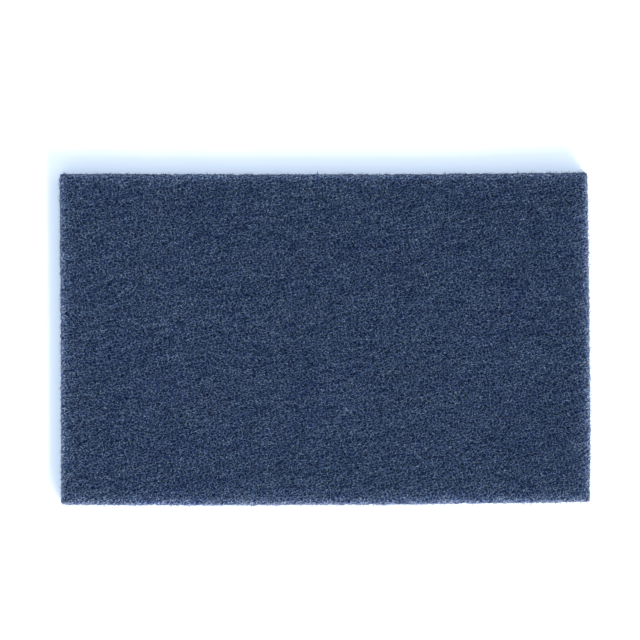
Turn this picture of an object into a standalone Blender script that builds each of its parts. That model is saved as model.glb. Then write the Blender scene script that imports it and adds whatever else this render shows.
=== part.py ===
"""A non-woven abrasive hand pad: one slab of springy fibre web, cut a little out of square.

The pad lies on its back face. The origin is at the centre of that face, +X runs along the
long side, +Y away from the near long side, and +Z up. All sizes are in metres.
"""

from math import ceil, hypot

import bmesh
import bpy
from mathutils import Vector, noise

# The slab as it was cut from the roll, from corner to corner
PAD_LENGTH = 0.2296  # mean of the near and far sides
PAD_WIDTH = 0.1434  # mean of the left and right ends
PAD_THICKNESS = 0.0080

# How far the knife left it out of square
FAR_SIDE_FALL = 0.0008  # the far side comes this much nearer at its right end
LEFT_END_LEAN = 0.0001  # the far left corner lies this much to the right of the near one
RIGHT_END_LEAN = 0.0006  # and the far right corner this much to the left of the near one

# How far each cut wanders from the straight line between its corners
NEAR_SIDE_BOW = 0.0007  # outwards at the middle
FAR_SIDE_HOLLOW = 0.0005  # inwards at the middle
LEFT_END_HOLLOW = 0.0002  # inwards at the middle
RIGHT_END_BOW = 0.0006  # outwards at the middle

# Its cut edges, soft and uneven where fibres were dragged by the knife
EDGE_ROUND = 0.0005
EDGE_ROUND_STEPS = 2
SHARP_ANGLE = 1.0  # radians between faces; edges sharper than this get rounded
CUT_WAVE_DEPTH = 0.00025
CUT_WAVE_PITCH = 0.0150
CUT_WAVE_REACH = 0.0060  # how far in from the edge the unevenness dies out

# The upper face, lumpy where the web is thicker or thinner
CLUMP_DEPTH = 0.00035
CLUMP_PITCH = 0.0130
STREAK_DEPTH = 0.00020
STREAK_PITCH = 0.0065  # across the streaks, which the web's laying direction draws out
STREAK_STRETCH = 2.5  # how many times longer a streak is than it is wide

# The far corners have sprung up a little from the table
RIGHT_CORNER_LIFT = 0.0013
LEFT_CORNER_LIFT = 0.0007
LIFT_REACH = 0.0550

# Spacing of the points that carry the forms above
FACE_SIZE = 0.0035

WEB_COLOUR = (0.031, 0.051, 0.105, 1.0)  # slate blue resin, linear
WEB_ROUGHNESS = 0.92

# Places in the noise field, one for each form, so that no two repeat each other
CLUMP_PLACE = 3.7
STREAK_PLACE = 11.3
CUT_PLACE = 53.2


def clear_scene():
    for thing in list(bpy.data.objects):
        bpy.data.objects.remove(thing, do_unlink=True)


def web_material():
    material = bpy.data.materials.new("abrasive_web")
    material.use_nodes = True
    shader = material.node_tree.nodes["Principled BSDF"]
    shader.inputs["Base Color"].default_value = WEB_COLOUR
    shader.inputs["Roughness"].default_value = WEB_ROUGHNESS
    shader.inputs["Metallic"].default_value = 0.0
    return material


def square_slab():
    """The slab before anything bends it: a gridded sheet given its thickness, its edges rounded."""
    slab = bmesh.new()
    columns = ceil(PAD_LENGTH / FACE_SIZE)
    rows = ceil(PAD_WIDTH / FACE_SIZE)
    bmesh.ops.create_grid(slab, x_segments=columns, y_segments=rows, size=0.5)
    bmesh.ops.scale(slab, vec=(PAD_LENGTH, PAD_WIDTH, 1.0), verts=slab.verts)

    raised = bmesh.ops.extrude_face_region(slab, geom=slab.faces[:])
    upper = [item for item in raised["geom"] if isinstance(item, bmesh.types.BMVert)]
    bmesh.ops.translate(slab, vec=(0.0, 0.0, PAD_THICKNESS), verts=upper)
    bmesh.ops.recalc_face_normals(slab, faces=slab.faces)

    sharp = [edge for edge in slab.edges if edge.calc_face_angle() > SHARP_ANGLE]
    bmesh.ops.bevel(
        slab,
        geom=sharp,
        offset=EDGE_ROUND,
        segments=EDGE_ROUND_STEPS,
        profile=0.5,
        affect="EDGES",
        clamp_overlap=True,
    )
    return slab


def eased(share):
    """0 to 1 with a smooth start and end."""
    share = min(max(share, 0.0), 1.0)
    return share * share * (3.0 - 2.0 * share)


def bowed(share):
    """1 halfway along a side and 0 at its corners."""
    return 4.0 * share * (1.0 - share)


def out_of_square(point):
    """Leans, tapers and bows the outline as the knife left it."""
    along = point.x / PAD_LENGTH + 0.5  # 0 at the left end, 1 at the right
    away = point.y / PAD_WIDTH + 0.5  # 0 at the near side, 1 at the far one
    left = -PAD_LENGTH / 2.0 + (away - 0.5) * LEFT_END_LEAN + bowed(away) * LEFT_END_HOLLOW
    right = PAD_LENGTH / 2.0 - (away - 0.5) * RIGHT_END_LEAN + bowed(away) * RIGHT_END_BOW
    near = -PAD_WIDTH / 2.0 - bowed(along) * NEAR_SIDE_BOW
    far = PAD_WIDTH / 2.0 - (along - 0.5) * FAR_SIDE_FALL - bowed(along) * FAR_SIDE_HOLLOW
    return Vector((left + along * (right - left), near + away * (far - near), point.z))


def cut_wave(point):
    """Pushes the cut walls in and out, more towards the edge."""
    wave = CUT_WAVE_DEPTH * noise.noise(point / CUT_WAVE_PITCH + Vector((0.0, 0.0, CUT_PLACE)))
    along_x = eased(1.0 - (PAD_LENGTH / 2.0 - abs(point.x)) / CUT_WAVE_REACH)
    along_y = eased(1.0 - (PAD_WIDTH / 2.0 - abs(point.y)) / CUT_WAVE_REACH)
    side_x = 1.0 if point.x > 0.0 else -1.0
    side_y = 1.0 if point.y > 0.0 else -1.0
    return Vector((side_x * wave * along_x, side_y * wave * along_y, 0.0))


def web_relief(point):
    """Height of the upper face's lumps and streaks. The back face stays flat where it is pressed down."""
    clumps = CLUMP_DEPTH * noise.noise(
        Vector((point.x / CLUMP_PITCH, point.y / CLUMP_PITCH, CLUMP_PLACE))
    )
    streaks = STREAK_DEPTH * noise.noise(
        Vector((point.x / (STREAK_PITCH * STREAK_STRETCH), point.y / STREAK_PITCH, STREAK_PLACE))
    )
    return (clumps + streaks) * eased(point.z / PAD_THICKNESS)


def corner_lift(point):
    """How far the far corners' spring raises the web here."""
    lift = 0.0
    for side, height in ((1.0, RIGHT_CORNER_LIFT), (-1.0, LEFT_CORNER_LIFT)):
        corner_x = side * PAD_LENGTH / 2.0
        corner_y = PAD_WIDTH / 2.0
        away = hypot(point.x - corner_x, point.y - corner_y)
        lift += height * eased(1.0 - away / LIFT_REACH)
    return lift


def centre_on_back_face(slab):
    """Puts the origin under the middle of the pad's box, on the face that it lies on."""
    lowest = Vector([min(vert.co[axis] for vert in slab.verts) for axis in range(3)])
    highest = Vector([max(vert.co[axis] for vert in slab.verts) for axis in range(3)])
    middle = (lowest + highest) / 2.0
    bmesh.ops.translate(slab, vec=(-middle.x, -middle.y, -lowest.z), verts=slab.verts)


def abrasive_pad():
    slab = square_slab()
    for vert in slab.verts:
        flat = vert.co.copy()
        bent = out_of_square(flat + cut_wave(flat))
        bent.z += web_relief(flat) + corner_lift(flat)
        vert.co = bent
    centre_on_back_face(slab)
    bmesh.ops.recalc_face_normals(slab, faces=slab.faces)

    mesh = bpy.data.meshes.new("abrasive_pad")
    slab.to_mesh(mesh)
    slab.free()
    mesh.shade_smooth()
    mesh.materials.append(web_material())
    pad = bpy.data.objects.new("abrasive_pad", mesh)
    bpy.context.scene.collection.objects.link(pad)
    return pad


clear_scene()
abrasive_pad()
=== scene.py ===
from functools import partial
from math import exp, pi, radians

import bmesh
import bpy
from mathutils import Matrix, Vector, noise
from mathutils.bvhtree import BVHTree


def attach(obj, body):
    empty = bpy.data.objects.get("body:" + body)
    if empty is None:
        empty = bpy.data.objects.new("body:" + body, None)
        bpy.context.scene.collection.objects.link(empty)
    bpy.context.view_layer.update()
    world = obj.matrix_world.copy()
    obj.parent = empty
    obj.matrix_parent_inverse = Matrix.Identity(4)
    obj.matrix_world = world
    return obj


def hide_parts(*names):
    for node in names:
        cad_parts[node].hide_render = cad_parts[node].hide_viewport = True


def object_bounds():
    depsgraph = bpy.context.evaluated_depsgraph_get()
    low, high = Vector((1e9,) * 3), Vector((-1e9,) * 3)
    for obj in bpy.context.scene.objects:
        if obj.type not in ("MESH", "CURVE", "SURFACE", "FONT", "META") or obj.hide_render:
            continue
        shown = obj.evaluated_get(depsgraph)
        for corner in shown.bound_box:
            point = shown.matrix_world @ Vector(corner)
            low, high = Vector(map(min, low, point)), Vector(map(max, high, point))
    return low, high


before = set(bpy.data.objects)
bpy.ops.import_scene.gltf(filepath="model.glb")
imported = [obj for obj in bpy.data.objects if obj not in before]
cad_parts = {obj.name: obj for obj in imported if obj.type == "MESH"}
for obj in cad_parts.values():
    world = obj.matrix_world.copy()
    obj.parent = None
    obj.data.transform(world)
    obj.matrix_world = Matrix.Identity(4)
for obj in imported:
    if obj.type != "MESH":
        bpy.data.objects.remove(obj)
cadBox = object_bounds()
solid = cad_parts["abrasive_pad"]
mm = 0.001
noiseMiddle = (0.5, 0.5, 0.5)  # the colour that a noise swings about
noChange = Vector((1.0, 1.0, 1.0))  # the factor that leaves a colour as it is
print("frame loaded:", sorted(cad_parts))


def linearColour(hexCode):
    # an sRGB hex value such as "4E5D76" as the linear colour that shaders take
    shares = [int(hexCode[start:start + 2], 16) / 255 for start in (0, 2, 4)]
    return [s / 12.92 if s <= 0.04045 else ((s + 0.055) / 1.055) ** 2.4 for s in shares] + [1.0]


def addNode(tree, kind, into=None, **settings):
    # into maps an input's name or number to its value, or to the node or output that feeds it
    node = tree.nodes.new(kind)
    for name, value in settings.items():
        setattr(node, name, value)
    for key, value in (into or {}).items():
        if isinstance(key, int):
            socket = node.inputs[key]
        else:
            socket = next(s for s in node.inputs if s.name == key and s.enabled)
        if isinstance(value, bpy.types.Node):
            value = next(s for s in value.outputs if s.enabled)
        if isinstance(value, bpy.types.NodeSocket):
            tree.links.new(value, socket)
        else:
            socket.default_value = value
    return node


def newMaterial(name):
    material = bpy.data.materials.new(name)
    material.use_nodes = True
    return material, material.node_tree, material.node_tree.nodes["Principled BSDF"]


def newTree(name, inputs):
    # a geometry tree that takes a surface and gives what it makes on it
    tree = bpy.data.node_groups.new(name, "GeometryNodeTree")
    tree.interface.new_socket("Surface", in_out="INPUT", socket_type="NodeSocketGeometry")
    for label, kind in inputs.items():
        tree.interface.new_socket(label, in_out="INPUT", socket_type="NodeSocket" + kind)
    tree.interface.new_socket("Made", in_out="OUTPUT", socket_type="NodeSocketGeometry")
    return tree


def placeObject(name, mesh):
    thing = bpy.data.objects.new(name, mesh)
    bpy.context.scene.collection.objects.link(thing)
    return thing


def bakeModifiers(thing):
    # leaves the object with the plain mesh that its modifiers make
    graph = bpy.context.evaluated_depsgraph_get()
    finished = bpy.data.meshes.new_from_object(thing.evaluated_get(graph))
    thing.modifiers.clear()
    thing.data = finished
    finished.name = thing.name


def countTriangles(piece):
    piece.data.calc_loop_triangles()
    return len(piece.data.loop_triangles)


def runTree(name, surface, tree, sizes, material):
    # a new piece: what the tree makes on a copy of the surface, as a plain mesh
    piece = placeObject(name, surface.data.copy())
    modifier = piece.modifiers.new("made", "NODES")
    modifier.node_group = tree
    sockets = {s.name: s.identifier for s in tree.interface.items_tree if s.in_out == "INPUT"}
    for label, value in sizes.items():
        modifier[sockets[label]] = value
    modifier[sockets["Material"]] = material
    bakeModifiers(piece)
    print(name, "made,", countTriangles(piece), "triangles")
    return piece


# What web and fibres share: how they were laid, what resin, fraying and tint do to their colours, and the
# light and shade painted into them.
# Levels are the values of a noise between which a change happens, and a drawn-out length is how
# much longer a thing is along the laying direction than across it.
webLay = {
    "laidAt": 15,  # degrees; the web was laid along the long side, rising a little to the right
    "strandDrawnOut": 1.4,
    "streakDrawnOut": 4.4,
    "streakPitch": 1.8,  # mm across a streak, where the web came out denser or thinner
    "streakLevels": (0.3, 0.7),
    "streakDepth": (0.28, 0.23, 0.16),  # how far it changes red, green and blue, up and down
    "tintPitch": 9.0,  # mm across patches that lean a little to teal or plum
    "tintDepth": 0.15,
    "clotDrawnOut": 1.3,
    "clotPitch": 0.57,  # mm between the dark specks that clots of resin leave
    "clotLevels": (0.28, 0.60),
    "clotLeast": (0.54, 0.65, 0.80),  # the factors for red, green and blue in the middle of a speck
    "clotMost": (0.94, 1.06, 1.07),  # and between specks
    "netPitch": 1.3,  # mm across a mesh of the finest strands, drawn coarser than real so that it shows
    "netUneven": 0.85,  # from 0, all meshes alike, to 1
    "netCurl": (3.5, 3.2, 2.0),  # mm between its bends, mm that they swing it, levels of finer bends
    "netAcross": (0.05, 0.27),  # in meshes from a strand's middle: where it ends, where it is darkest
    "netStrand": (1.66, 1.52, 1.28),  # the factors on a strand
    "netHollowShade": (0.345, 0.445, 0.68),  # and in the middle of a mesh, darker as painted shade of its gap
    "pitPitch": 1.2,  # mm between the pits where the web is thin and the light is lost in it
    "pitLevels": (0.30, 0.46),
    "pitDepth": 0.40,  # how much of the light a pit takes
    "toneSlope": (-0.28, -0.45),  # how much paler the colour is drawn for each metre to the right and away; below 0 it is darker
    "frayAndRimLight": (1.42, 1.29, 1.12),  # how much paler an arris is drawn: where the knife frayed it, and painted light glowing through the open web at the cut
    "bareEndsAndGlow": "4F5566",  # what the bare fibre ends and a painted glow through the cut add there
    "frayedFall": 3.0,  # the power that keeps them close to the arris
}


def laidSpot(add, lay, drawnOut):
    # the object's own coordinates in mm, turned to the laying direction and drawn out along it
    turned = add(
        "ShaderNodeVectorRotate",
        {"Vector": add("ShaderNodeTexCoord").outputs["Object"], "Angle": -radians(lay["laidAt"])},
        rotation_type="Z_AXIS",
    )
    return add(
        "ShaderNodeMapping", {"Vector": turned, "Scale": (1 / mm / drawnOut, 1 / mm, 1 / mm)}
    )


def marksAndPaintedLight(add, colour, lay):
    # frayed arrises drawn paler with painted light, clots of resin, the finest net with painted shade in
    # its hollows, the painted shade of pits, a slope in tone, streaks and patches of another tint
    arris = add("ShaderNodeAttribute", attribute_name="arris").outputs["Fac"]
    paler = add(
        "ShaderNodeVectorMath", {0: arris, 1: lay["frayAndRimLight"], 2: noChange}, operation="MULTIPLY_ADD"
    )
    colour = add("ShaderNodeVectorMath", {0: colour, 1: paler}, operation="MULTIPLY")

    # on the faces the clots are read from one level of the noise, which spaces them evenly
    spot = add("ShaderNodeSeparateXYZ", {"Vector": laidSpot(add, lay, lay["clotDrawnOut"])}).outputs
    wall = add("ShaderNodeAttribute", attribute_name="wall").outputs["Fac"]
    height = add("ShaderNodeMath", {0: spot["Z"], 1: wall}, operation="MULTIPLY")
    spot = add("ShaderNodeCombineXYZ", {"X": spot["X"], "Y": spot["Y"], "Z": height})
    clots = add("ShaderNodeTexNoise", {"Vector": spot, "Scale": 1 / lay["clotPitch"], "Detail": 0.0})
    low, high = lay["clotLevels"]
    clots = add(
        "ShaderNodeMapRange",
        {"Vector": clots, "From Min": [low] * 3, "From Max": [high] * 3,
         "To Min": lay["clotLeast"], "To Max": lay["clotMost"]},
        data_type="FLOAT_VECTOR",
    )
    colour = add("ShaderNodeVectorMath", {0: colour, 1: clots.outputs["Vector"]}, operation="MULTIPLY")

    # the net is flat on the faces, and the walls take it at a slant
    flat = add("ShaderNodeVectorMath", {0: spot, 1: (1.0, 1.0, 0.0)}, operation="MULTIPLY")
    slide = add("ShaderNodeCombineXYZ", {"X": height, "Y": height})
    flat = add("ShaderNodeVectorMath", {0: flat, 1: slide}, operation="ADD")
    bends, swing, finer = lay["netCurl"]
    curl = add("ShaderNodeTexNoise", {"Vector": flat, "Scale": 1 / bends, "Detail": finer})
    flat = add(
        "ShaderNodeVectorMath",
        {0: curl.outputs["Color"], 1: (swing, swing, 0.0), 2: flat},
        operation="MULTIPLY_ADD",
    )
    net = add(
        "ShaderNodeTexVoronoi",
        {"Vector": flat, "Scale": 1 / lay["netPitch"], "Randomness": lay["netUneven"]},
        voronoi_dimensions="2D", feature="DISTANCE_TO_EDGE",
    )
    strandEnd, darkest = lay["netAcross"]
    # the mesh middles darker: painted shade of the gaps in the web
    net = add(
        "ShaderNodeMapRange",
        {"Vector": net, "From Min": [strandEnd] * 3, "From Max": [darkest] * 3,
         "To Min": lay["netStrand"], "To Max": lay["netHollowShade"]},
        data_type="FLOAT_VECTOR",
    )

    # the bare ends and their painted glow come before the net, so that it shows on them too
    close = add("ShaderNodeMath", {0: arris, 1: lay["frayedFall"]}, operation="POWER")
    endsGlow = linearColour(lay["bareEndsAndGlow"])[:3]
    endsGlow = add("ShaderNodeVectorMath", {"Vector": endsGlow, "Scale": close}, operation="SCALE")
    colour = add("ShaderNodeVectorMath", {0: colour, 1: endsGlow}, operation="ADD")
    colour = add("ShaderNodeVectorMath", {0: colour, 1: net.outputs["Vector"]}, operation="MULTIPLY")

    pits = add("ShaderNodeTexNoise", {"Vector": spot, "Scale": 1 / lay["pitPitch"], "Detail": 0.0})
    low, high = lay["pitLevels"]
    pits = add(
        "ShaderNodeMapRange",
        {"Value": pits, "From Min": low, "From Max": high, "To Min": 1 - lay["pitDepth"], "To Max": 1.0},
    )
    colour = add("ShaderNodeVectorMath", {"Vector": colour, "Scale": pits}, operation="SCALE")
    # a slope in tone: darker towards the right and the far side
    where = add("ShaderNodeTexCoord").outputs["Object"]
    sloped = add("ShaderNodeVectorMath", {0: where, 1: (*lay["toneSlope"], 0.0)}, operation="DOT_PRODUCT")
    sloped = add("ShaderNodeMath", {0: sloped, 1: 1.0}, operation="ADD")
    colour = add("ShaderNodeVectorMath", {"Vector": colour, "Scale": sloped}, operation="SCALE")

    spot = laidSpot(add, lay, lay["streakDrawnOut"])
    streaks = add("ShaderNodeTexNoise", {"Vector": spot, "Scale": 1 / lay["streakPitch"], "Detail": 2.0})
    low, high = lay["streakLevels"]
    depth = Vector(lay["streakDepth"])
    streaks = add(
        "ShaderNodeMapRange",
        {"Vector": streaks, "From Min": [low] * 3, "From Max": [high] * 3,
         "To Min": noChange - depth, "To Max": noChange + depth},
        data_type="FLOAT_VECTOR",
    )
    colour = add("ShaderNodeVectorMath", {0: colour, 1: streaks.outputs["Vector"]}, operation="MULTIPLY")
    tint = add("ShaderNodeTexNoise", {"Vector": spot, "Scale": 1 / lay["tintPitch"], "Detail": 3.0})
    depth, rest = lay["tintDepth"], 1 - lay["tintDepth"] / 2
    tint = add(
        "ShaderNodeVectorMath",
        {0: tint.outputs["Color"], 1: [depth] * 3, 2: [rest] * 3},
        operation="MULTIPLY_ADD",
    )
    return add("ShaderNodeVectorMath", {0: colour, 1: tint}, operation="MULTIPLY")


# Non-woven nylon web, seen in its depth: nets of curled strands over navy hollows that give back almost
# no light, a painted shade of the web's depth, deeper nets darker. Along the arrises, where the knife cut
# it, it is frayed and drawn paler, partly with painted light.
webLook = {
    "hollowShade": "000209",
    "bed": "050E25",
    "bedGrain": 0.24,  # mm
    "bedLevels": (0.40, 0.62),  # between which values of its noise the hollow turns into the bed
    "curl": (0.6, 0.5),  # mm between the bends of a strand, mm that they swing it
    # from the deepest up, each darker as painted shade of the depth: mm across a mesh of the net, mm
    # across its strands, colour, share shown, place
    "nets": [
        (0.30, 0.14, "1F3054", 0.85, 3.0),
        (0.36, 0.14, "44577C", 0.70, 7.0),
        (0.44, 0.14, "6A7C9A", 0.50, 13.0),
    ],
    "dipReach": (0.35, 0.65),  # the values that the noise keeps between, by which a strand dips
    "dipSoft": 0.05,  # how far to each side of its own level a strand fades out
    "roughness": 0.85,
    "sheen": 0.05,  # the specular level: so open a web has hardly any smooth skin
    "relief": 0.12,  # mm
}


def makeWebMaterial(look):
    material, tree, shader = newMaterial("nonWovenNylonWeb")
    add = partial(addNode, tree)
    laid = laidSpot(add, webLay, webLay["strandDrawnOut"])
    grain = add(
        "ShaderNodeTexNoise",
        {"Vector": laid, "Scale": 1 / look["bedGrain"], "Detail": 2.0, "Roughness": 0.7},
    )
    # hollow and bed are painted shade of the web's depth
    colour = add("ShaderNodeValToRGB", {"Fac": grain})
    for stop, level, name in zip(colour.color_ramp.elements, look["bedLevels"], ("hollowShade", "bed")):
        stop.position = level
        stop.color = linearColour(look[name])
    bends, swing = look["curl"]
    curl = add("ShaderNodeTexNoise", {"Vector": laid, "Scale": 1 / bends, "Detail": 1.0}).outputs["Color"]
    curl = add("ShaderNodeVectorMath", {0: curl, 1: noiseMiddle}, operation="SUBTRACT")
    curled = add("ShaderNodeVectorMath", {0: curl, 1: [swing] * 3, 2: laid}, operation="MULTIPLY_ADD")
    for mesh, width, hexCode, share, place in look["nets"]:
        away = (place, 2 * place, 3 * place)  # so that no net runs like another
        moved = add("ShaderNodeVectorMath", {0: curled, 1: away}, operation="ADD")
        aside = add(
            "ShaderNodeTexVoronoi", {"Vector": moved, "Scale": 1 / mesh}, feature="DISTANCE_TO_EDGE"
        )
        # rounded off: at full strength near its middle, and gone half its width away
        strand = add(
            "ShaderNodeMapRange",
            {"Value": aside, "From Min": 0.5 * width / mesh, "From Max": 0.1 * width / mesh,
             "To Min": 0.0, "To Max": 1.0},
            interpolation_type="SMOOTHSTEP",
        )
        # a strand comes and goes as it dips in and out of the web
        dip = add("ShaderNodeTexNoise", {"Vector": moved, "Scale": 1 / mesh, "Detail": 0.0})
        least, most = look["dipReach"]
        level = most - share * (most - least)
        shown = add(
            "ShaderNodeMapRange",
            {"Value": dip, "From Min": level - look["dipSoft"], "From Max": level + look["dipSoft"],
             "To Min": 0.0, "To Max": 1.0},
        )
        strand = add("ShaderNodeMath", {0: strand, 1: shown}, operation="MULTIPLY")
        colour = add(
            "ShaderNodeMix", {"Factor": strand, "A": colour, "B": linearColour(hexCode)}, data_type="RGBA"
        )
    # in relief stand the uppermost net, which is the last, and the grain of the bed
    height = add("ShaderNodeMath", {0: strand, 1: grain}, operation="ADD")
    colour = marksAndPaintedLight(add, colour, webLay)
    tree.links.new(colour.outputs["Vector"], shader.inputs["Base Color"])
    shader.inputs["Roughness"].default_value = look["roughness"]
    shader.inputs["Specular IOR Level"].default_value = look["sheen"]
    bump = add("ShaderNodeBump", {"Height": height, "Distance": look["relief"] * mm, "Strength": 1.0})
    tree.links.new(bump.outputs["Normal"], shader.inputs["Normal"])
    return material


# Crimped nylon fibre under a coat of resin: slate blue, with painted shade where it dips into the web,
# and a soft shine along its upper side.
fibreLook = {
    "deep": "000C26",
    "usual": "2C3C5E",
    "pale": "667894",
    "usualAt": 0.6,  # the tone, from 0 for the deepest fibre to 1 for the palest
    "roughness": 0.55,
    "sheen": 0.10,
}


def makeFibreMaterial(look):
    material, tree, shader = newMaterial("resinCoatedNylonFibre")
    add = partial(addNode, tree)
    tone = add("ShaderNodeAttribute", attribute_name="tone").outputs["Fac"]
    colour = add("ShaderNodeValToRGB", {"Fac": tone})
    colour.color_ramp.elements[0].color = linearColour(look["deep"])
    colour.color_ramp.elements[1].color = linearColour(look["pale"])
    usual = colour.color_ramp.elements.new(look["usualAt"])
    usual.color = linearColour(look["usual"])
    colour = marksAndPaintedLight(add, colour, webLay)
    tree.links.new(colour.outputs["Vector"], shader.inputs["Base Color"])
    shader.inputs["Roughness"].default_value = look["roughness"]
    shader.inputs["Specular IOR Level"].default_value = look["sheen"]
    return material


# Aluminium oxide grit in the resin: slate grey crystals whose faces glint.
gritLook = {
    "crystal": "7789A2",
    "roughness": 0.28,
}


def makeGritMaterial(look):
    material, tree, shader = newMaterial("aluminiumOxideGrit")
    shader.inputs["Base Color"].default_value = linearColour(look["crystal"])
    shader.inputs["Roughness"].default_value = look["roughness"]
    return material


web = {
    "cuts": 3,  # points added along each edge of the solid, which leaves them about a millimetre apart
    "inset": 0.10,  # mm that it lies inside the solid, so that the fibres on it come out level
    "insetBelow": 0.32,  # the same on the back, whose fibres are pressed flat between it and the table
    "lumps": [(5.0, 0.04, 5.1), (2.3, 0.03, 17.3)],  # mm across, mm high, place in the noise
    "torn": (1.9, 0.5, 29.7),  # the same for the lumps that the knife tore in the walls
    "worn": 0.7,  # mm; the radius to which the four upright corners have worn
    "weld": 0.01,  # mm; points of the solid that lie closer become one
    "arrisFacing": (0.2, 0.95),  # how far up or down the faces of the solid's rounded arrises point
    "fraying": 2.0,  # mm in from an arris over which its fraying falls to about a third
    "cutOpen": 0.65,  # how frayed, and so how far drawn paler with painted light, the walls are between their arrises, 1 being as much as an arris
    "dragged": (0.03, -0.12),  # painted light: arrises facing the near side, and a little those on the right, drawn paler, those facing away darker
}


def makeWeb(settings, material):
    form = bmesh.new()
    form.from_mesh(solid.data)
    bmesh.ops.remove_doubles(form, verts=form.verts, dist=settings["weld"] * mm)
    bmesh.ops.subdivide_edges(form, edges=form.edges, cuts=settings["cuts"], use_grid_fill=True)
    bmesh.ops.recalc_face_normals(form, faces=form.faces)
    form.normal_update()
    normals = [vert.normal.copy() for vert in form.verts]
    worn = settings["worn"] * mm
    corners = []  # which way each corner points, and where it is
    for across, away in ((-1, -1), (-1, 1), (1, -1), (1, 1)):
        last = max(form.verts, key=lambda vert: vert.co.x * across + vert.co.y * away)
        corners.append((across, away, last.co.xy))
    for vert, normal in zip(form.verts, normals):
        for across, away, end in corners:
            past = Vector((worn - (end.x - vert.co.x) * across, worn - (end.y - vert.co.y) * away))
            if min(past) > 0 and past.length > worn:
                shorter = past * (worn / past.length - 1)
                vert.co.x += shorter.x * across
                vert.co.y += shorter.y * away
        below = max(-normal.z, 0.0)
        height = -((1 - below) * settings["inset"] + below * settings["insetBelow"]) * mm
        for size, depth, place in settings["lumps"]:
            spot = Vector((vert.co.x / webLay["streakDrawnOut"], vert.co.y, vert.co.z)) / (size * mm)
            height += depth * mm * noise.noise(spot + Vector((place, place, place)))
        size, depth, place = settings["torn"]
        spot = vert.co / (size * mm) + Vector((place, place, place))
        height += (1 - abs(normal.z)) * depth * mm * noise.noise(spot)
        vert.co = vert.co + normal * height
        vert.co.z = max(vert.co.z, 0.0)
    mesh = bpy.data.meshes.new("webCore")
    form.to_mesh(mesh)
    form.free()
    mesh.shade_smooth()
    mesh.materials.append(material)
    return placeObject("webCore", mesh)


def markArrises(core, settings):
    # gives each point of the web its nearness to an arris, about 1 on it and nearly 0 some millimetres
    # away, raised on the near and right sides and lowered on the far ones as painted light, and how
    # upright the surface stands there
    spots = [vert.co for vert in solid.data.vertices]
    least, most = settings["arrisFacing"]
    rounded = [list(face.vertices) for face in solid.data.polygons if least < abs(face.normal.z) < most]
    arrises = BVHTree.FromPolygons(spots, rounded)
    dragged = Vector(settings["dragged"])
    frayed = core.data.attributes.new("arris", "FLOAT", "POINT")
    upright = core.data.attributes.new("wall", "FLOAT", "POINT")
    for vert, fray, wall in zip(core.data.vertices, frayed.data, upright.data):
        _, facing, _, away = arrises.find_nearest(vert.co)
        wall.value = 1 - abs(vert.normal.z)
        # painted light: more on the sides that face the lamp, less on the far ones
        sideLight = 1 + dragged.dot(facing.xy.normalized())
        near = exp(-away / (sideLight * settings["fraying"] * mm))
        fray.value = sideLight * max(near, settings["cutOpen"] * wall.value)


fibreInputs = {
    "Apart": "Float",
    "Facing Up": "Float",
    "Facing Give": "Float",
    "Length": "Float",
    "Thickness": "Float",
    "Points": "Int",
    "Lay": "Float",
    "Scatter": "Float",
    "Crimp Pitch": "Float",
    "Crimp Depth": "Float",
    "Rise": "Float",
    "Sink": "Float",
    "Weave": "Float",
    "Lowest": "Float",
    "Seed": "Int",
    "Material": "Material",
}


def drawNumbers(add, given, ranges, oncePerFibre):
    # random numbers between the given ends, each use with a seed of its own that its place sets
    index = add("GeometryNodeInputIndex")
    draws = {}
    for salt, (use, (least, most)) in enumerate(ranges.items(), start=1):
        seed = add("ShaderNodeMath", {0: given["Seed"], 1: float(salt)}, operation="ADD")
        draws[use] = add(
            "FunctionNodeRandomValue", {"Min": least, "Max": most, "ID": index, "Seed": seed},
            data_type="FLOAT",
        )
    for use in oncePerFibre:
        draws[use] = add(
            "GeometryNodeFieldOnDomain", {"Value": draws[use]}, data_type="FLOAT", domain="CURVE"
        )
    return draws


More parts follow.
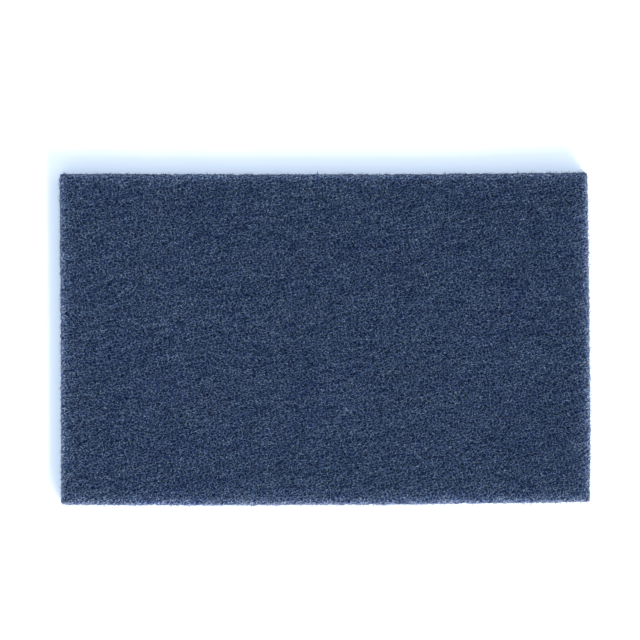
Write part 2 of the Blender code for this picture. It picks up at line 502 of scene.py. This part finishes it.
def makeFibreTree():
    # crimped fibres that lie in the web's surface and weave through it
    tree = newTree("layCrimpedFibres", fibreInputs)
    add = partial(addNode, tree)
    given = add("NodeGroupInput").outputs
    draws = drawNumbers(add, given, {
        "turnA": (-1.0, 1.0),
        "turnB": (-1.0, 1.0),
        "length": (0.6, 1.3),
        "slice": (0.0, 500.0),
        "rise": (0.15, 1.0),
        "tone": (0.2, 0.9),
        "girth": (0.7, 1.3),
    }, oncePerFibre=("slice", "rise", "tone", "girth"))

    # where the fibres lie
    normal = add("GeometryNodeInputNormal")
    facing = add("ShaderNodeSeparateXYZ", {"Vector": normal}).outputs["Z"]
    chosen = add(
        "FunctionNodeCompare",
        {"A": facing, "B": given["Facing Up"], "Epsilon": given["Facing Give"]},
        data_type="FLOAT", operation="EQUAL",
    )
    # far more tries than fit, so that the distance between them alone says how many there are
    crowd = add("ShaderNodeMath", {0: given["Apart"], 1: -2.0}, operation="POWER")
    crowd = add("ShaderNodeMath", {0: crowd, 1: 4.0}, operation="MULTIPLY")
    points = add(
        "GeometryNodeDistributePointsOnFaces",
        {"Mesh": given["Surface"], "Selection": chosen, "Distance Min": given["Apart"],
         "Density Max": crowd, "Seed": given["Seed"]},
        distribute_method="POISSON",
    )

    # each one points along the long side, a hair upwards so that the end walls have a direction too,
    # and from there is turned to the laying direction, give or take the scatter
    upright = add("FunctionNodeAlignRotationToVector", {"Vector": points.outputs["Normal"]}, axis="Z")
    along = add(
        "FunctionNodeAlignRotationToVector",
        {"Rotation": upright, "Vector": (1.0, 0.0, 0.02)},
        axis="X", pivot_axis="Z",
    )
    turn = add("ShaderNodeMath", {0: draws["turnA"], 1: draws["turnB"]}, operation="ADD")
    turn = add(
        "ShaderNodeMath", {0: turn, 1: given["Scatter"], 2: given["Lay"]}, operation="MULTIPLY_ADD"
    )
    spin = add("FunctionNodeAxisAngleToRotation", {"Axis": (0, 0, 1), "Angle": turn})
    turned = add(
        "FunctionNodeRotateRotation", {"Rotation": along, "Rotate By": spin}, rotation_space="LOCAL"
    )
    front = add("ShaderNodeMath", {0: given["Length"], 1: 0.5}, operation="MULTIPLY")
    back = add("ShaderNodeMath", {0: given["Length"], 1: -0.5}, operation="MULTIPLY")
    straight = add(
        "GeometryNodeCurvePrimitiveLine",
        {"Start": add("ShaderNodeCombineXYZ", {"X": back}),
         "End": add("ShaderNodeCombineXYZ", {"X": front})},
    )
    stepped = add("GeometryNodeResampleCurve", {"Curve": straight, "Count": given["Points"]})
    laid = add(
        "GeometryNodeInstanceOnPoints",
        {"Points": points, "Instance": stepped, "Rotation": turned, "Scale": draws["length"]},
    )
    fibres = add("GeometryNodeRealizeInstances", {"Geometry": laid})

    # crimp: every fibre wanders through its own slice of a noise field
    scale = add("ShaderNodeMath", {0: 1.0, 1: given["Crimp Pitch"]}, operation="DIVIDE")
    wander = add(
        "ShaderNodeTexNoise",
        {"Vector": add("GeometryNodeInputPosition"), "W": draws["slice"], "Scale": scale, "Detail": 1.0},
        noise_dimensions="4D",
    ).outputs["Color"]
    wander = add("ShaderNodeVectorMath", {0: wander, 1: noiseMiddle}, operation="SUBTRACT")
    sway = add(
        "ShaderNodeVectorMath", {"Vector": wander, "Scale": given["Crimp Depth"]}, operation="SCALE"
    )
    weave = add("ShaderNodeSeparateXYZ", {"Vector": wander}).outputs["Z"]
    weave = add("GeometryNodeFieldOnDomain", {"Value": weave}, data_type="FLOAT", domain="POINT")
    kept = add(
        "GeometryNodeStoreNamedAttribute",
        {"Geometry": fibres, "Name": "weave", "Value": weave},
        data_type="FLOAT", domain="POINT",
    )
    fibres = add("GeometryNodeSetPosition", {"Geometry": kept, "Offset": sway})

    # then it is drawn back to the web, its ends under the surface and the rest dipping in and out
    share = add("GeometryNodeSplineParameter").outputs["Factor"]
    arch = add("ShaderNodeMath", {0: share, 1: pi}, operation="MULTIPLY")
    arch = add("ShaderNodeMath", {0: arch}, operation="SINE")
    top = add(
        "ShaderNodeMath", {0: given["Rise"], 1: draws["rise"], 2: given["Sink"]}, operation="MULTIPLY_ADD"
    )
    weave = add("GeometryNodeInputNamedAttribute", {"Name": "weave"}, data_type="FLOAT")
    top = add("ShaderNodeMath", {0: weave, 1: given["Weave"], 2: top}, operation="MULTIPLY_ADD")
    above = add("ShaderNodeMath", {0: arch, 1: top}, operation="MULTIPLY")
    height = add("ShaderNodeMath", {0: above, 1: given["Sink"]}, operation="SUBTRACT")
    nearest = add("GeometryNodeProximity", {"Geometry": given["Surface"]}, target_element="FACES")
    webNormal = add(
        "GeometryNodeSampleNearestSurface", {"Mesh": given["Surface"], "Value": normal},
        data_type="FLOAT_VECTOR",
    )
    lifted = add("ShaderNodeVectorMath", {"Vector": webNormal, "Scale": height}, operation="SCALE")
    seated = add(
        "ShaderNodeVectorMath",
        {0: nearest.outputs["Position"], 1: lifted.outputs["Vector"]},
        operation="ADD",
    )
    # no lower than allowed; the X and Y given here are too far off to hold anything back
    lowest = add("ShaderNodeCombineXYZ", {"X": -1.0, "Y": -1.0, "Z": given["Lowest"]})
    seated = add("ShaderNodeVectorMath", {0: seated, 1: lowest}, operation="MAXIMUM")
    fibres = add("GeometryNodeSetPosition", {"Geometry": fibres, "Position": seated})

    # what the material reads: paler where it stands high and darker where it dips, as painted light and
    # shade, and near an arris
    tallest = add("ShaderNodeMath", {0: given["Rise"], 1: given["Sink"]}, operation="ADD")
    stands = add("ShaderNodeMath", {0: above, 1: tallest}, operation="DIVIDE")
    tone = add("ShaderNodeMath", {0: stands, 1: 0.5, 2: 0.5}, operation="MULTIPLY_ADD")
    tone = add("ShaderNodeMath", {0: draws["tone"], 1: tone}, operation="MULTIPLY")
    fibres = add(
        "GeometryNodeStoreNamedAttribute", {"Geometry": fibres, "Name": "tone", "Value": tone},
        data_type="FLOAT", domain="POINT",
    )
    fibres = takeMarks(add, given, fibres)

    # thinner at their ends
    taper = add("ShaderNodeMath", {0: arch, 1: 0.45, 2: 0.55}, operation="MULTIPLY_ADD")
    girth = add("ShaderNodeMath", {0: given["Thickness"], 1: draws["girth"]}, operation="MULTIPLY")
    girth = add("ShaderNodeMath", {0: girth, 1: taper}, operation="MULTIPLY")
    finishTubes(add, fibres, girth, given)
    return tree


def takeMarks(add, given, fibres):
    # what the web's own points carry, handed on to the fibres that lie nearest
    for name in ("arris", "wall"):
        there = add("GeometryNodeInputNamedAttribute", {"Name": name}, data_type="FLOAT")
        here = add(
            "GeometryNodeSampleNearestSurface", {"Mesh": given["Surface"], "Value": there},
            data_type="FLOAT",
        )
        fibres = add(
            "GeometryNodeStoreNamedAttribute", {"Geometry": fibres, "Name": name, "Value": here},
            data_type="FLOAT", domain="POINT",
        )
    return fibres


def finishTubes(add, fibres, girth, given):
    # three-sided tubes of that girth round the fibres, in the given material
    ring = add("GeometryNodeCurvePrimitiveCircle", {"Resolution": 3, "Radius": 0.5}, mode="RADIUS")
    tubes = add(
        "GeometryNodeCurveToMesh",
        {"Curve": fibres, "Profile Curve": ring, "Scale": girth, "Fill Caps": True},
    )
    smooth = add("GeometryNodeSetShadeSmooth", {"Geometry": tubes, "Shade Smooth": True})
    made = add("GeometryNodeRealizeInstances", {"Geometry": smooth})
    dressed = add("GeometryNodeSetMaterial", {"Geometry": made, "Material": given["Material"]})
    add("NodeGroupOutput", {"Made": dressed})


# Fibres that lie in the faces and the cut walls, in metres and radians.
upperFibres = {
    "Apart": 2.5 * mm,  # the least distance between the middles of two fibres of a layer
    "Facing Up": 1.0,
    "Facing Give": 0.6,
    "Length": 3.8 * mm,
    "Thickness": 0.17 * mm,
    "Points": 8,
    "Lay": radians(webLay["laidAt"]),
    "Scatter": radians(38),
    "Crimp Pitch": 1.4 * mm,
    "Crimp Depth": 2.4 * mm,
    "Rise": 0.35 * mm,
    "Sink": 0.25 * mm,
    "Weave": 1.2 * mm,
    "Lowest": 0.12 * mm,
}
wallFibres = {
    **upperFibres,
    "Apart": 1.35 * mm,
    "Facing Up": 0.0,
    "Facing Give": 0.6,
    "Lay": 0.0,
    "Scatter": radians(35),
    "Rise": 0.30 * mm,
}
backFibres = {**upperFibres, "Apart": 3.6 * mm, "Facing Up": -1.0, "Facing Give": 0.4}
layers = {
    "upperFibresA": {**upperFibres, "Seed": 11},
    "upperFibresB": {**upperFibres, "Seed": 37},
    "upperFibresC": {**upperFibres, "Seed": 53},
    "wallFibres": {**wallFibres, "Seed": 59},
    "backFibres": {**backFibres, "Seed": 83},
}


looseInputs = {
    "Ends per Square Metre": "Float",
    "Facing Up": "Float",
    "Facing Give": "Float",
    "Root": "Float",
    "Reach": "Float",
    "Tilt": "Float",
    "Thickness": "Float",
    "Points": "Int",
    "Curl Pitch": "Float",
    "Curl Depth": "Float",
    "Lowest": "Float",
    "Seed": "Int",
    "Material": "Material",
}


def makeLooseTree():
    # fibre ends that stand out of the web, rooted in it and curling off at a tilt
    tree = newTree("standLooseEnds", looseInputs)
    add = partial(addNode, tree)
    given = add("NodeGroupInput").outputs
    draws = drawNumbers(add, given, {
        "tiltA": (-1.0, 1.0),
        "tiltB": (-1.0, 1.0),
        "reach": (0.2, 1.4),
        "slice": (0.0, 500.0),
        "tone": (0.45, 1.0),
        "girth": (0.7, 1.2),
    }, oncePerFibre=("slice", "tone", "girth"))

    facing = add("ShaderNodeSeparateXYZ", {"Vector": add("GeometryNodeInputNormal")}).outputs["Z"]
    chosen = add(
        "FunctionNodeCompare",
        {"A": facing, "B": given["Facing Up"], "Epsilon": given["Facing Give"]},
        data_type="FLOAT", operation="EQUAL",
    )
    points = add(
        "GeometryNodeDistributePointsOnFaces",
        {"Mesh": given["Surface"], "Selection": chosen, "Density": given["Ends per Square Metre"],
         "Seed": given["Seed"]},
    )
    upright = add("FunctionNodeAlignRotationToVector", {"Vector": points.outputs["Normal"]}, axis="Z")
    for axis, use in (((1, 0, 0), "tiltA"), ((0, 1, 0), "tiltB")):
        angle = add("ShaderNodeMath", {0: draws[use], 1: given["Tilt"]}, operation="MULTIPLY")
        lean = add("FunctionNodeAxisAngleToRotation", {"Axis": axis, "Angle": angle})
        upright = add(
            "FunctionNodeRotateRotation", {"Rotation": upright, "Rotate By": lean}, rotation_space="LOCAL"
        )
    inside = add("ShaderNodeMath", {0: given["Root"], 1: -1.0}, operation="MULTIPLY")
    straight = add(
        "GeometryNodeCurvePrimitiveLine",
        {"Start": add("ShaderNodeCombineXYZ", {"Z": inside}),
         "End": add("ShaderNodeCombineXYZ", {"Z": given["Reach"]})},
    )
    stepped = add("GeometryNodeResampleCurve", {"Curve": straight, "Count": given["Points"]})
    stood = add(
        "GeometryNodeInstanceOnPoints",
        {"Points": points, "Instance": stepped, "Rotation": upright, "Scale": draws["reach"]},
    )
    ends = add("GeometryNodeRealizeInstances", {"Geometry": stood})
    share = add("GeometryNodeSplineParameter").outputs["Factor"]
    scale = add("ShaderNodeMath", {0: 1.0, 1: given["Curl Pitch"]}, operation="DIVIDE")
    curl = add(
        "ShaderNodeTexNoise",
        {"Vector": add("GeometryNodeInputPosition"), "W": draws["slice"], "Scale": scale, "Detail": 1.0},
        noise_dimensions="4D",
    ).outputs["Color"]
    curl = add("ShaderNodeVectorMath", {0: curl, 1: noiseMiddle}, operation="SUBTRACT")
    depth = add("ShaderNodeMath", {0: share, 1: given["Curl Depth"]}, operation="MULTIPLY")
    curl = add("ShaderNodeVectorMath", {"Vector": curl, "Scale": depth}, operation="SCALE")
    here = add("GeometryNodeInputPosition")
    place = add("ShaderNodeVectorMath", {0: here, 1: curl.outputs["Vector"]}, operation="ADD")
    lowest = add("ShaderNodeCombineXYZ", {"X": -1.0, "Y": -1.0, "Z": given["Lowest"]})
    place = add("ShaderNodeVectorMath", {0: place, 1: lowest}, operation="MAXIMUM")
    ends = add("GeometryNodeSetPosition", {"Geometry": ends, "Position": place})
    ends = add(
        "GeometryNodeStoreNamedAttribute", {"Geometry": ends, "Name": "tone", "Value": draws["tone"]},
        data_type="FLOAT", domain="POINT",
    )
    ends = takeMarks(add, given, ends)
    taper = add("ShaderNodeMath", {0: share, 1: -0.5, 2: 1.0}, operation="MULTIPLY_ADD")
    girth = add("ShaderNodeMath", {0: given["Thickness"], 1: draws["girth"]}, operation="MULTIPLY")
    girth = add("ShaderNodeMath", {0: girth, 1: taper}, operation="MULTIPLY")
    finishTubes(add, ends, girth, given)
    return tree


# Ends that the knife left standing out of the walls, and a few that spring from the upper face.
wallEnds = {
    "Ends per Square Metre": 300000.0,
    "Facing Up": 0.0,
    "Facing Give": 0.8,
    "Root": 0.5 * mm,
    "Reach": 1.2 * mm,
    "Tilt": radians(50),
    "Thickness": 0.22 * mm,
    "Points": 4,
    "Curl Pitch": 1.2 * mm,
    "Curl Depth": 1.2 * mm,
    "Lowest": 0.12 * mm,
    "Seed": 101,
}
faceEnds = {
    **wallEnds,
    "Ends per Square Metre": 40000.0,
    "Facing Up": 1.0,
    "Facing Give": 0.2,
    "Reach": 0.75 * mm,
    "Tilt": radians(75),
    "Seed": 131,
}


gritInputs = {
    "Crystals per Square Metre": "Float",
    "Size": "Float",
    "Seed": "Int",
    "Material": "Material",
}


def makeGritTree():
    # crystals of uneven size and turn, stuck to the surface
    tree = newTree("bondGrit", gritInputs)
    add = partial(addNode, tree)
    given = add("NodeGroupInput").outputs
    points = add(
        "GeometryNodeDistributePointsOnFaces",
        {"Mesh": given["Surface"], "Density": given["Crystals per Square Metre"], "Seed": given["Seed"]},
    )
    turned = add(
        "FunctionNodeRandomValue", {"Min": (0, 0, 0), "Max": [2 * pi] * 3, "Seed": given["Seed"]},
        data_type="FLOAT_VECTOR",
    )
    seed = add("ShaderNodeMath", {0: given["Seed"], 1: 1.0}, operation="ADD")
    scaled = add(
        "FunctionNodeRandomValue", {"Min": (0.5, 0.5, 0.5), "Max": (1.3, 1.3, 1.3), "Seed": seed},
        data_type="FLOAT_VECTOR",
    )
    radius = add("ShaderNodeMath", {0: given["Size"], 1: 0.5}, operation="MULTIPLY")
    crystal = add("GeometryNodeMeshIcoSphere", {"Radius": radius, "Subdivisions": 1})
    placed = add(
        "GeometryNodeInstanceOnPoints",
        {"Points": points, "Instance": crystal, "Rotation": turned, "Scale": scaled},
    )
    made = add("GeometryNodeRealizeInstances", {"Geometry": placed})
    dressed = add("GeometryNodeSetMaterial", {"Geometry": made, "Material": given["Material"]})
    add("NodeGroupOutput", {"Made": dressed})
    return tree


# Coarser than a real fine grit, so that a crystal still shows as a glint.
grit = {"Crystals per Square Metre": 60000.0, "Size": 0.20 * mm, "Seed": 151}


webMaterial = makeWebMaterial(webLook)
fibreMaterial = makeFibreMaterial(fibreLook)
gritMaterial = makeGritMaterial(gritLook)
core = makeWeb(web, webMaterial)
markArrises(core, web)
print("web core made,", countTriangles(core), "triangles")

fibreTree = makeFibreTree()
looseTree = makeLooseTree()
pieces = [core]
for name, sizes in layers.items():
    pieces.append(runTree(name, core, fibreTree, sizes, fibreMaterial))
pieces.append(runTree("gritGrains", pieces[1], makeGritTree(), grit, gritMaterial))
pieces.append(runTree("wallLooseEnds", core, looseTree, wallEnds, fibreMaterial))
pieces.append(runTree("faceLooseEnds", core, looseTree, faceEnds, fibreMaterial))
print("all pieces,", sum(countTriangles(piece) for piece in pieces), "triangles")

for piece in pieces:
    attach(piece, "root")
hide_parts("abrasive_pad")


studio = {
    "floorSize": 6.0,  # metres
    "floorColour": "F4F6F8",
    "floorDrop": 0.05,  # mm under the pad, so that no two surfaces share a place
    "floorLift": (0.232, 0.345, 0.515),  # a glow for the eye and reflections alone, for a white floor
    "skyColour": (0.784, 0.798, 0.792),
    "skyLean": (0.566, -0.77, 0.0),  # it is brighter to the right and on the near side
    "keyColour": (1.0, 0.80, 0.76),
    "keyHeight": 20.0,  # metres; so far off that the pad and the floor are evenly lit
    "keyAcross": 0.72,  # the middle's distance to the right, per unit of its height
    "keyNear": 0.96,  # how far off on the near side the strip starts, per unit of its height
    "keyFar": 2.36,  # and where it ends
    "keyWidth": 0.27,  # per unit of its height too
    "keyTurn": -9.7,  # degrees
    "keyStrength": 45.3,  # watts for each square metre of its height squared
}


def makeFloor(settings):
    half = settings["floorSize"] / 2
    corners = [(-half, -half, 0), (half, -half, 0), (half, half, 0), (-half, half, 0)]
    mesh = bpy.data.meshes.new("floor")
    mesh.from_pydata(corners, [], [(0, 1, 2, 3)])
    floor = placeObject("floor", mesh)
    floor.location.z = -settings["floorDrop"] * mm
    material, tree, _ = newMaterial("paperSweep")
    tree.nodes.clear()
    add = partial(addNode, tree)
    paper = add("ShaderNodeBsdfDiffuse", {"Color": linearColour(settings["floorColour"])})
    path = add("ShaderNodeLightPath").outputs
    seen = add(
        "ShaderNodeMath", {0: path["Is Camera Ray"], 1: path["Is Glossy Ray"]}, operation="MAXIMUM"
    )
    seen = add("ShaderNodeMath", {0: seen, 1: path["Is Transmission Ray"]}, operation="MAXIMUM")
    lift = add("ShaderNodeEmission", {"Color": list(settings["floorLift"]) + [1.0], "Strength": seen})
    both = add("ShaderNodeAddShader", {0: paper, 1: lift})
    add("ShaderNodeOutputMaterial", {"Surface": both})
    mesh.materials.append(material)


def makeSky(settings):
    world = bpy.data.worlds.new("studioSky")
    bpy.context.scene.world = world
    world.use_nodes = True
    tree = world.node_tree
    tree.nodes.clear()
    add = partial(addNode, tree)
    towards = add("ShaderNodeTexCoord").outputs["Generated"]
    lean = add("ShaderNodeVectorMath", {0: towards, 1: settings["skyLean"]}, operation="DOT_PRODUCT")
    strength = add("ShaderNodeMath", {0: lean, 1: 1.0}, operation="ADD")
    soft = add(
        "ShaderNodeBackground", {"Color": list(settings["skyColour"]) + [1.0], "Strength": strength}
    )
    white = add("ShaderNodeBackground", {"Color": (1, 1, 1, 1), "Strength": 1.0})
    seen = add("ShaderNodeLightPath").outputs["Is Camera Ray"]
    mixed = add("ShaderNodeMixShader", {0: seen, 1: soft, 2: white})
    add("ShaderNodeOutputWorld", {"Surface": mixed})


def makeKey(settings):
    light = bpy.data.lights.new("windowStrip", "AREA")
    height = settings["keyHeight"]
    light.shape = "RECTANGLE"
    light.size = settings["keyWidth"] * height
    light.size_y = (settings["keyFar"] - settings["keyNear"]) * height
    light.energy = settings["keyStrength"] * height ** 2
    light.color = settings["keyColour"]
    lamp = bpy.data.objects.new("windowStrip", light)
    near, far = settings["keyNear"] * height, settings["keyFar"] * height
    lamp.location = (settings["keyAcross"] * height, -(near + far) / 2, height)
    lamp.rotation_euler.z = radians(settings["keyTurn"])
    lamp.visible_camera = False
    bpy.context.scene.collection.objects.link(lamp)


view = {
    "lens": 200,  # from well back, so that the walls stay hidden behind the arrises
    "sensor": 36,
    "clip": (0.01, 100),  # metres from the eye, between which things are drawn
    "pixels": 640,
    "pixelsPerMm": 2.3025,  # at the height of the upper face
    "originAt": (325.0, 338.8),  # the pixel over the middle of the pad
    "roll": -0.29,  # degrees; the pad lay a little askew under the camera
}


def makeCamera(settings):
    camera = bpy.data.cameras.new("camera")
    camera.lens = settings["lens"]
    camera.sensor_width = settings["sensor"]
    camera.clip_start, camera.clip_end = settings["clip"]
    eye = placeObject("camera", camera)
    eye.rotation_euler.z = radians(settings["roll"])
    across = settings["pixels"] / settings["pixelsPerMm"] * mm
    upperFace = cadBox[1].z
    middle = settings["pixels"] / 2
    eye.location = (
        (middle - settings["originAt"][0]) / settings["pixelsPerMm"] * mm,
        (settings["originAt"][1] - middle) / settings["pixelsPerMm"] * mm,
        upperFace + across / camera.sensor_width * camera.lens,
    )
    bpy.context.scene.camera = eye


makeFloor(studio)
makeSky(studio)
makeKey(studio)
makeCamera(view)
bpy.context.scene.view_settings.view_transform = "Standard"
print("floor, light and camera placed")
